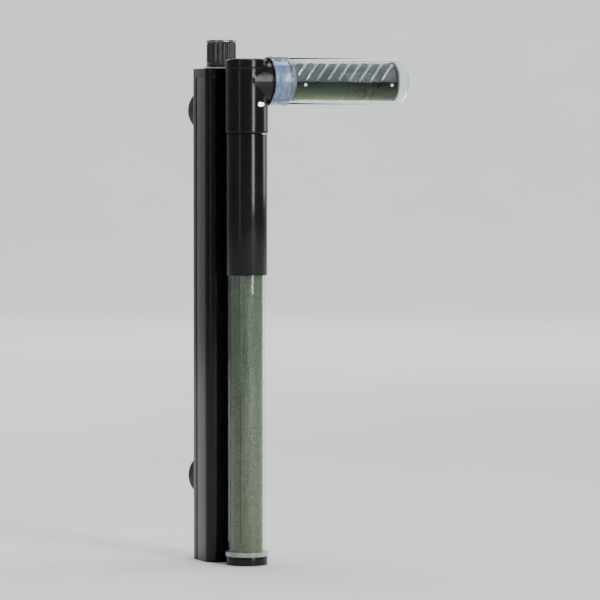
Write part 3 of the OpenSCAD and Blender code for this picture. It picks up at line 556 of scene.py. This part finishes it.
MATERIALS = {
    "gloss_black": gloss_black(),
    "bracket_black": satin_black("bracket_black", 3000),
    "cup_rubber": cup_rubber(),
    "silicone": silicone(),
    "seal_rubber": seal_rubber(),
    "satin_black": satin_black(),
    "dial_white": moulded("dial_white", (0.66, 0.66, 0.65), (0.8, 0.8, 0.79), 0.4),
    "brass": metal("brass", (0.5, 0.34, 0.12), (0.78, 0.58, 0.26), 0.2, 0.36),
    "zinc_steel": metal("zinc_steel", (0.4, 0.42, 0.46), (0.66, 0.68, 0.72), 0.25, 0.42),
    "porcelain": fired("porcelain", (0.72, 0.71, 0.66), (0.88, 0.87, 0.82), 0.32),
    "bimetal": metal("bimetal", (0.42, 0.37, 0.3), (0.68, 0.6, 0.48), 0.25, 0.4),
    "magnet": fired("magnet", (0.05, 0.05, 0.055), (0.12, 0.12, 0.13), 0.5),
    "capacitor_coat": moulded("capacitor_coat", (0.7, 0.3, 0.03), (0.88, 0.45, 0.06), 0.2),
    "cutout_case": metal("cutout_case", (0.5, 0.5, 0.52), (0.75, 0.75, 0.77), 0.22, 0.36),
    "wire_sleeving": moulded("wire_sleeving", (0.36, 0.03, 0.02), (0.55, 0.07, 0.05), 0.4),
    "dial_cap": metal("dial_cap", (0.16, 0.155, 0.18), (0.3, 0.29, 0.33), 0.2, 0.36, (1, 1, 1), 260),
    "rim_plastic": rim_plastic(),
    "bright_steel": metal("bright_steel", (0.55, 0.57, 0.6), (0.84, 0.85, 0.87), 0.08, 0.2),
    "clear_glass": heater_glass("heater_glass", (0.95, 0.985, 0.99), (0.87, 0.94, 0.95),
                                (0.25, 1, 1), 0.1),
    "lower_glass": heater_glass("lower_tube_glass", (0.88, 0.93, 0.9), (0.78, 0.86, 0.8),
                                (1, 1, 0.25), 0.7),
    "sand": quartz_sand(),
    "resistance_wire": metal("resistance_wire", (0.26, 0.25, 0.25), (0.5, 0.49, 0.48), 0.3, 0.5),
    "winding_strand": metal("winding_strand", (0.55, 0.57, 0.62), (0.86, 0.88, 0.93), 0.2, 0.36,
                            (6, 6, 6), 300),
    "pointer_red": moulded("pointer_red", (0.6, 0.06, 0.02), (0.8, 0.12, 0.05), 0.3),
    "nylon": moulded("nylon", (0.7, 0.68, 0.6), (0.84, 0.82, 0.75), 0.4),
    "contact_copper": metal("contact_copper", (0.5, 0.26, 0.14), (0.74, 0.44, 0.3), 0.22, 0.38),
    "contact_silver": metal("contact_silver", (0.6, 0.6, 0.58), (0.85, 0.85, 0.83), 0.15, 0.3),
    "collar_blue": collar_plastic(),
    "mica": fired("mica", (0.11, 0.1, 0.085), (0.22, 0.2, 0.17), 0.4, 1400),
    "dark_ceramic": fired("dark_ceramic", (0.03, 0.034, 0.038), (0.075, 0.083, 0.09), 0.5),
    "reflector": reflector_sheet(),
    "lens": lamp_lens(),
    "lamp_glow": lamp_glow(),
}


# ---------- matrices that place turned shapes ----------

def upright(centre, z):
    """Places a shape drawn round +Z on an upright axis, at a height."""
    return Matrix.Translation((centre.x, centre.y, z))


def along_x(centre_y, centre_z, x):
    """Lays a shape drawn round +Z along +X."""
    return Matrix.Translation((x, centre_y, centre_z)) @ Matrix.Rotation(QUARTER, 4, "Y")


def out_of_wall(x, y, z):
    """Turns a shape drawn round +Z to point out of the wall, along -Y."""
    return Matrix.Translation((x, y, z)) @ Matrix.Rotation(QUARTER, 4, "X")


# ---------- camera, light and floor ----------

VIEW_AZIMUTH = math.radians(-22.5)
VIEW_DISTANCE = 1.71
EYE_ABOVE_FOOT = 0.186
FRAME_HEIGHT = 0.262


def make_camera(lo, hi):
    """A long lens at the height and angle the heater is seen from."""
    centre = (lo + hi) / 2
    side = Vector((math.sin(VIEW_AZIMUTH), -math.cos(VIEW_AZIMUTH), 0))
    eye = Vector((centre.x, centre.y, lo.z + EYE_ABOVE_FOOT)) + side * VIEW_DISTANCE
    data = bpy.data.cameras.new("camera")
    data.sensor_width = 36
    data.lens = data.sensor_width * VIEW_DISTANCE / FRAME_HEIGHT
    data.clip_start = 0.05
    camera = bpy.data.objects.new("camera", data)
    bpy.context.scene.collection.objects.link(camera)
    camera.location = eye
    camera.rotation_mode = "QUATERNION"
    camera.rotation_quaternion = (centre - eye).to_track_quat("-Z", "Y")
    bpy.context.scene.camera = camera


def soft_light(name, place, target, size, power, colour=(1, 1, 1)):
    """A rectangular soft box that faces a target."""
    data = bpy.data.lights.new(name, "AREA")
    data.shape = "RECTANGLE"
    data.size, data.size_y = size
    data.energy = power
    data.color = colour
    light = bpy.data.objects.new(name, data)
    bpy.context.scene.collection.objects.link(light)
    light.location = place
    light.rotation_mode = "QUATERNION"
    light.rotation_quaternion = (Vector(target) - Vector(place)).to_track_quat("-Z", "Y")


def make_studio(lo, hi):
    """Soft boxes round the object, one turned to the backdrop, and a pale grey surround."""
    centre = (lo + hi) / 2
    soft_light("key", centre + Vector((0.3, -1.15, 0.5)), centre, (0.3, 1.1), 15)
    soft_light("side", centre + Vector((1.15, 0.1, 0.45)), centre, (0.5, 0.9), 5)
    soft_light("fill", centre + Vector((-0.95, -0.55, 0.25)), centre, (0.12, 0.9), 0.8, (0.8, 0.89, 1))
    soft_light("top", centre + Vector((0.1, 0.1, 1.0)), centre, (0.7, 0.5), 8)
    soft_light("back", centre + Vector((-0.2, 1.0, 0.55)), centre, (0.6, 0.6), 6)
    behind = centre + Vector((0.6, 1.3, 1.2))
    backdrop = centre + Vector((1.3, 3.1, -0.1))
    soft_light("backdrop", behind, backdrop, (2.0, 0.8), 44)
    world = bpy.data.worlds.new("studio")
    world.use_nodes = True
    background = world.node_tree.nodes["Background"]
    background.inputs["Color"].default_value = (0.86, 0.88, 0.9, 1)
    background.inputs["Strength"].default_value = 0.34
    bpy.context.scene.world = world


def make_floor(lo):
    """A pale round floor that sweeps up into a low wall all round, well outside every camera."""
    flat = 2.4
    sweep_r = 1.2
    wall_h = 1.35
    steps = 12
    around = 72
    rows = [(0.0, 0.0), (flat, 0.0)]
    for k in range(1, steps + 1):
        angle = QUARTER * k / steps
        rows.append((flat + sweep_r * math.sin(angle), sweep_r * (1 - math.cos(angle))))
    rows.append((flat + sweep_r, wall_h))
    points = []
    for r, z in rows:
        for k in range(around):
            angle = TURN * k / around
            points.append(Vector((r * math.cos(angle), r * math.sin(angle), lo.z + z)))
    faces = []
    for i in range(len(rows) - 1):
        for k in range(around):
            a = i * around + k
            b = i * around + (k + 1) % around
            faces.append((a, b, b + around, a + around))
    mesh = mesh_from("floor", points, faces, 60)
    floor = link("floor", mesh)
    floor.data.materials.append(studio_floor())


# ---------- wall bracket ----------

def suction_cup(node):
    """A thin-lipped cup with a moulding ring, and the neck that snaps into the plate."""
    lo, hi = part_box(node)
    lip = (hi.x - lo.x) / 2
    depth = hi.y - lo.y
    neck_r = 2.2 * MM
    button_r = 3.4 * MM
    button_from = 6.3 * MM
    # each corner: radius, depth from the glass, radius of its rounding
    skirt = [(lip, 0, 0.12 * MM), (lip - 0.05 * MM, 0.55 * MM, 0.25 * MM),
             (lip - 1.5 * MM, 1.95 * MM, 1.2 * MM)]
    ring = [(lip - 2.4 * MM, 2.3 * MM, 0.2 * MM), (lip - 2.7 * MM, 2.6 * MM, 0.2 * MM)]
    shoulder = [(5.3 * MM, 3.5 * MM, 0.9 * MM), (3.5 * MM, 4.85 * MM, 0.3 * MM),
                (neck_r, 4.9 * MM, 0.15 * MM)]
    button = [(neck_r, button_from, 0.15 * MM), (button_r, button_from, 0.2 * MM),
              (button_r - 0.05 * MM, 7.1 * MM, 0.3 * MM), (2.6 * MM, depth, 0.3 * MM), (0, depth, 0)]
    hollow = [(0, 2.4 * MM, 0), (3.9 * MM, 2.05 * MM, 0.8 * MM), (6.3 * MM, 1.15 * MM, 0.8 * MM),
              (lip - 2.4 * MM, 0.05 * MM, 0.2 * MM)]
    outline = rounded(skirt + ring + shoulder + button + hollow)
    centre = (lo + hi) / 2
    mesh = lathe(node + "_skin", outline, 96, out_of_wall(centre.x, hi.y, centre.z))
    finish_piece(link(node + "_skin", mesh), "wall_bracket", "cup_rubber", [node])


def plate_shell():
    """The bracket's plate, its bearing face and its hooks' feet a hair clear of the sliding column."""
    edge = 0.35 * MM
    near = 0.02 * MM
    hair = 0.05 * MM
    mesh = softened("hook_plate", edge)
    bearing_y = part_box("back_cover")[1].y
    for vertex in mesh.vertices:
        if vertex.co.y < bearing_y - near:
            vertex.co.z += hair
        elif vertex.co.y < bearing_y + near:
            vertex.co.y += hair
    finish_piece(link("hook_plate_shell", mesh), "wall_bracket", "bracket_black", ["hook_plate"])


# ---------- column ----------

def dial_marks():
    """Raised marks round the dial: a short one for each step, a wide one at each end stop."""
    lo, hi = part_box("dial_ring")
    outer = (hi.x - lo.x) / 2 - 0.12 * MM
    knob_lo, knob_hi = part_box("knob")
    inner = (knob_hi.x - knob_lo.x) / 2 + 0.1 * MM
    raise_by = Vector((0, 0, 0.12 * MM))
    sink_by = Vector((0, 0, 0.05 * MM))
    marks = []
    stop = 150
    step = 15
    for degrees in range(-stop, stop + 1, step):
        half = 0.16 * MM if abs(degrees) == stop else 0.08 * MM
        angle = math.radians(degrees - 90)
        out = Vector((math.cos(angle), math.sin(angle), 0))
        across = Vector((-math.sin(angle), math.cos(angle), 0))
        base = Vector((DIAL_AXIS.x, DIAL_AXIS.y, hi.z))
        corners = [base + out * r + across * s for r, s in
                   ((inner, -half), (outer, -half), (outer, half), (inner, half))]
        raised = [c + raise_by for c in corners]
        sunk = [c - sink_by for c in corners]
        faces = [(3, 2, 1, 0), (4, 5, 6, 7), (0, 1, 5, 4), (1, 2, 6, 5), (2, 3, 7, 6), (3, 0, 4, 7)]
        marks.append((sunk + raised, faces))
    mesh = join_parts("dial_marks", marks, 30)
    finish_piece(link("dial_marks", mesh), "column", "satin_black")


# ---------- dial ----------

def fluted_knob():
    """The knob's body: a crowned fluted barrel with a skirt, flat underneath."""
    lo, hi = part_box("knob")
    radius = (hi.x - lo.x) / 2
    height = hi.z - lo.z
    flutes = 18
    steps = flutes * 12
    edge = 0.35 * MM
    skirt = 1.4 * MM
    # each row: height, distance out from the radius, share of the flutes' depth
    rows = [(0.0, -1.9 * MM, 0), (0.0, -edge, 0), (edge * 0.3, -edge * 0.3, 0), (edge, 0.0, 0),
            (skirt - 0.25 * MM, 0.0, 0), (skirt, -0.08 * MM, 0.05), (skirt + 0.35 * MM, -0.1 * MM, 1.0)]
    for k in range(1, 6):
        rows.append((skirt + 0.35 * MM + (height - skirt - 0.9 * MM) * k / 5, -0.1 * MM, 1.0))
    rows += [(height - 0.3 * MM, -0.16 * MM, 0.8), (height - 0.08 * MM, -0.4 * MM, 0.3),
             (height, -0.8 * MM, 0.0), (height, -radius, 0.0)]
    depth = 0.5 * MM
    verts = []
    faces = []
    for z, inset, fluting in rows:
        for k in range(steps):
            angle = TURN * k / steps
            wave = (0.5 - 0.5 * math.cos(flutes * angle)) ** 1.6
            r = max(radius + inset - depth * fluting * wave, 0)
            verts.append((DIAL_AXIS.x + r * math.cos(angle), DIAL_AXIS.y + r * math.sin(angle), lo.z + z))
    for i in range(len(rows) - 1):
        for k in range(steps):
            a = i * steps + k
            b = i * steps + (k + 1) % steps
            faces.append((a, b, b + steps, a + steps))
    faces.append(tuple(reversed(range(steps))))
    mesh = mesh_from("knob_barrel", [Vector(v) for v in verts], faces, 38)
    drop_slivers(mesh)
    finish_piece(link("knob_barrel", mesh), "dial", "satin_black", ["knob"])


# ---------- lower tube ----------

def lower_tube():
    """The upright glass, closed and rounded at its foot, with a fire-polished mouth."""
    lo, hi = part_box("lower_glass")
    r = (hi.x - lo.x) / 2
    wall = 1.0 * MM
    floor_t = 1.1 * MM
    shoulder = 2.2 * MM
    mouth = 0.3 * MM
    height = hi.z - lo.z
    outline = rounded([
        (0, 0, 0), (r, 0, shoulder), (r, height, mouth), (r - wall, height, mouth),
        (r - wall, floor_t, 1.0 * MM), (0, floor_t, 0),
    ], 10)
    mesh = lathe("lower_tube", outline, 128, upright(TUBE_AXIS, lo.z))
    finish_piece(link("lower_tube", mesh), "column", "clear_glass", ["lower_glass"], "lower_glass")


# ---------- swivelling head ----------

def upper_tube():
    """The horizontal glass, open at the collar and closed by a shallow dome."""
    lo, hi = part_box("upper_glass")
    outer = (hi.z - lo.z) / 2
    wall = 1.2 * MM
    inner = outer - wall
    dome = 4.0 * MM
    mouth = 0.25 * MM
    straight = hi.x - lo.x - dome
    steps = 14
    turns = [QUARTER * k / steps for k in range(steps + 1)]
    outline = [Vector((outer - mouth, 0)), Vector((outer, mouth))]
    outline += [Vector((outer * math.cos(a), straight + dome * math.sin(a))) for a in turns]
    outline += [Vector((inner * math.cos(a), straight + (dome - wall) * math.sin(a)))
                for a in reversed(turns)]
    outline += [Vector((inner, mouth)), Vector((inner + mouth, 0))]
    mesh = lathe("upper_tube", outline, 144, along_x(TUBE_AXIS.y, (lo.z + hi.z) / 2, lo.x))
    finish_piece(link("upper_tube", mesh), "swivel_head", "clear_glass", ["upper_glass"])


# The strands slant down over the former's upper half, all alike and one pitch apart.
STRAND_PITCH = 5.06 * MM
STRAND_LEAD = 10.5 * MM
STRAND_FIRST_TOP = 19.38 * MM
STRAND_REACH = math.radians(87)
STRAND_CENTRE_R = 8.1 * MM


def strand_point(axis_z, top, angle):
    """A point of a strand: angle is 0 over the tube's top and grows towards its front."""
    x = TUBE_AXIS.x + top - STRAND_LEAD * angle / QUARTER
    return Vector((x, TUBE_AXIS.y - STRAND_CENTRE_R * math.sin(angle),
                   axis_z + STRAND_CENTRE_R * math.cos(angle)))


def strand_spans():
    """(top, first angle, last angle) of each strand that crosses the former's upper half."""
    lo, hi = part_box("ceramic_former")
    margin = 1 * MM
    start = lo.x - TUBE_AXIS.x + margin
    end = hi.x - TUBE_AXIS.x - margin
    spans = []
    shortest = math.radians(15)
    for i in range(-5, 15):
        top = STRAND_FIRST_TOP + STRAND_PITCH * i
        first = max(-STRAND_REACH, (top - end) * QUARTER / STRAND_LEAD)
        last = min(STRAND_REACH, (top - start) * QUARTER / STRAND_LEAD)
        if last - first > shortest:
            spans.append((top, first, last))
    return spans


def heating_winding():
    """Each strand is a close coil of fine resistance wire, laid over the former."""
    lo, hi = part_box("ceramic_former")
    axis_z = (lo.z + hi.z) / 2
    coil_r = 0.5 * MM
    coil_pitch = 0.42 * MM
    wire_r = 0.12 * MM
    per_turn = 9
    parts = []
    for top, first, last in strand_spans():
        length = math.hypot(STRAND_CENTRE_R, STRAND_LEAD / QUARTER) * (last - first)
        turns = length / coil_pitch
        count = int(turns * per_turn)
        points = []
        for k in range(count + 1):
            angle = first + (last - first) * k / count
            centre = strand_point(axis_z, top, angle)
            run = Vector((-STRAND_LEAD / QUARTER, -STRAND_CENTRE_R * math.cos(angle),
                          -STRAND_CENTRE_R * math.sin(angle))).normalized()
            out = Vector((0, -math.sin(angle), math.cos(angle)))
            side = run.cross(out)
            phase = TURN * k / per_turn
            points.append(centre + (out * math.cos(phase) + side * math.sin(phase)) * coil_r)
        parts.append(sweep(points, wire_r, 5))
    mesh = join_parts("winding_coils", parts, 80)
    finish_piece(link("winding_coils", mesh), "swivel_head", "winding_strand", ["heating_winding"])


def strand_crimps():
    """Bright crimped sleeves round three of the strands, near the edge of the former's upper half."""
    lo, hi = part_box("ceramic_former")
    axis_z = (lo.z + hi.z) / 2
    steps = 12
    mean_r = 0.66
    wave = 0.03
    parts = []
    # each sleeve: which strand, and the degrees down from the tube's top where it starts and ends
    for strand, first, last in ((2, 58, 73), (3, 71, 84), (10, 71, 84)):
        top = STRAND_FIRST_TOP + STRAND_PITCH * strand
        points = []
        radii = []
        for k in range(steps + 1):
            angle = math.radians(first + (last - first) * k / steps)
            points.append(strand_point(axis_z, top, angle))
            radii.append((mean_r - wave * math.cos(2 * TURN * k / steps)) * MM)
        parts.append(sweep(points, radii, 16))
    mesh = join_parts("strand_crimps", parts, 50)
    finish_piece(link("strand_crimps", mesh), "swivel_head", "bright_steel")


def grooved_former():
    """The ceramic core, with a channel under every strand across its upper half."""
    lo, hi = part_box("ceramic_former")
    axis_z = (lo.z + hi.z) / 2
    length = hi.x - lo.x
    columns = 236
    around = 180
    ridge = 7.75 * MM
    channel = 0.35 * MM
    edge = 0.25 * MM
    face_r = ridge - 2 * edge
    channel_floor = 0.22
    channel_flank = 0.16
    verts = []
    faces = []
    rows = [(0.0, 0.0), (0.0, face_r)]
    rows += [(edge + (length - 2 * edge) * k / columns, None) for k in range(columns + 1)]
    rows += [(length, face_r), (length, 0.0)]
    for x, fixed in rows:
        for k in range(around):
            angle = TURN * k / around - math.pi
            r = fixed
            if fixed is None:
                r = ridge
                if abs(angle) < QUARTER:
                    top = x + lo.x - TUBE_AXIS.x + STRAND_LEAD * angle / QUARTER - STRAND_FIRST_TOP
                    phase = (top / STRAND_PITCH) % 1.0
                    near = min(phase, 1 - phase) * 2
                    r = ridge - channel * (1 - min(max((near - channel_floor) / channel_flank, 0), 1))
            verts.append((lo.x + x, TUBE_AXIS.y - r * math.sin(angle), axis_z + r * math.cos(angle)))
    for i in range(len(rows) - 1):
        for k in range(around):
            a = i * around + k
            b = i * around + (k + 1) % around
            faces.append((a, b, b + around, a + around))
    mesh = mesh_from("grooved_former", [Vector(v) for v in verts], faces, 30)
    drop_slivers(mesh)
    finish_piece(link("grooved_former", mesh), "swivel_head", "dark_ceramic", ["ceramic_former"])


def reflector_tray():
    """A half-round tray with rolled edges and shallow stiffening beads."""
    lo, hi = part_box("reflector_tray")
    glass_lo, glass_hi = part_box("upper_glass")
    axis_z = (glass_lo.z + glass_hi.z) / 2
    outer = (hi.y - lo.y) / 2
    wall = 0.3 * MM
    rolled_r = 0.32 * MM
    bead_depth = 0.28 * MM
    bead_w = 0.6 * MM
    beads = 3
    rim = hi.z - axis_z
    length = hi.x - lo.x
    start = math.asin(-rim / outer) if rim < 0 else 0
    columns = 120
    around = 60
    angles = [start + (math.pi - 2 * start) * k / around for k in range(around + 1)]
    verts = []
    faces = []
    for i in range(columns + 1):
        x = lo.x + length * i / columns
        place = (i / columns) * (beads + 1)
        nearness = abs(place - round(place)) * length / (beads + 1)
        swell = 0.0
        if 0 < round(place) <= beads:
            swell = bead_depth * math.exp(-(nearness / bead_w) ** 2)
        for r, side_angles in ((outer - swell, angles), (outer - swell - wall, reversed(angles))):
            for angle in side_angles:
                verts.append(Vector((x, TUBE_AXIS.y - r * math.cos(angle), axis_z - r * math.sin(angle))))
    ring = 2 * (around + 1)
    for i in range(columns):
        for k in range(ring):
            a = i * ring + k
            b = i * ring + (k + 1) % ring
            faces.append((a, b, b + ring, a + ring))
    faces.append(tuple(reversed(range(ring))))
    faces.append(tuple(range(columns * ring, columns * ring + ring)))
    parts = [(verts, faces)]
    for side in (-1, 1):
        y = TUBE_AXIS.y + side * (outer * math.cos(start) - rolled_r)
        points = [Vector((lo.x + length * k / 24, y, hi.z - rolled_r * 0.4)) for k in range(25)]
        parts.append(sweep(points, rolled_r, 10))
    mesh = join_parts("reflector_sheet", parts, 35)
    finish_piece(link("reflector_sheet", mesh), "swivel_head", "reflector", ["reflector_tray"])


def elbow_shell():
    """The head's moulding, its barrel and spigot blended into each other."""
    voxel = 0.25 * MM
    mesh = melted("elbow_head", voxel, 14)
    finish_piece(link("elbow_shell", mesh), "swivel_head", "gloss_black", ["elbow_head"])


def blue_collar():
    """The translucent collar that grips the glass, with a rounded lip at each end."""
    lo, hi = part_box("tube_collar")
    glass_lo, glass_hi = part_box("upper_glass")
    outer = (hi.z - lo.z) / 2
    inner = (glass_hi.z - glass_lo.z) / 2 + 0.06 * MM
    waist = outer - 0.35 * MM
    soft = 0.3 * MM
    lip_l = 1.1 * MM
    waist_from = 1.5 * MM
    length = hi.x - lo.x
    outline = rounded([
        (inner, 0, 0.15 * MM), (outer - 0.2 * MM, 0, 0.2 * MM), (outer, 0.5 * MM, soft),
        (outer, lip_l, soft), (waist, waist_from, soft),
        (waist, length - waist_from, soft), (outer, length - lip_l, soft),
        (outer, length - 0.4 * MM, soft), (outer - 0.25 * MM, length, 0.2 * MM),
        (inner, length, 0.15 * MM),
    ])
    mesh = lathe("blue_collar", outline, 128, along_x(TUBE_AXIS.y, (lo.z + hi.z) / 2, lo.x))
    finish_piece(link("blue_collar", mesh), "swivel_head", "collar_blue", ["tube_collar"])


# ---------- assembly ----------

SLOT_OF = {entry["node"]: entry["material_slot"] for entry in frame["record"]["subparts"]}


def dress_cad_nodes():
    """Gives every CAD node its finish, whether it shows or a piece stands for it."""
    for name, obj in frame["nodes"].items():
        material = MATERIALS[SLOT_OF[name]]
        if not obj.data.materials:
            obj.data.materials.append(material)
        for index in range(len(obj.data.materials)):
            obj.data.materials[index] = material


# node: (radius of its softened edges in mm, the body it rides)
SOFT_EDGES = {
    "column_housing": (0.35, "column"),
    "back_cover": (0.3, "column"),
    "top_cap": (0.35, "column"),
    "gland_nut": (0.2, "column"),
    "tube_sleeve": (0.3, "column"),
    "foot_bracket": (0.3, "column"),
    "end_ring": (0.35, "column"),
    "cover_screws": (0.12, "column"),
    "knob_cap": (0.25, "dial"),
    "head_plug": (0.25, "swivel_head"),
    "pilot_lens": (0.15, "swivel_head"),
}


def build():
    """Dresses the CAD and adds every piece."""
    dress_cad_nodes()
    for node, (edge, body) in SOFT_EDGES.items():
        softened_piece(node + "_shell", node, edge * MM, body, SLOT_OF[node])
    plate_shell()
    suction_cup("upper_suction_cup")
    suction_cup("lower_suction_cup")
    dial_marks()
    fluted_knob()
    lower_tube()
    softened_piece("return_lead_sleeve", "return_lead", 0.12 * MM, "column", "seal_rubber")
    upper_tube()
    heating_winding()
    strand_crimps()
    grooved_former()
    reflector_tray()
    blue_collar()
    elbow_shell()


lo, hi = CAD_BOX
make_camera(lo, hi)
make_studio(lo, hi)
make_floor(lo)
build()
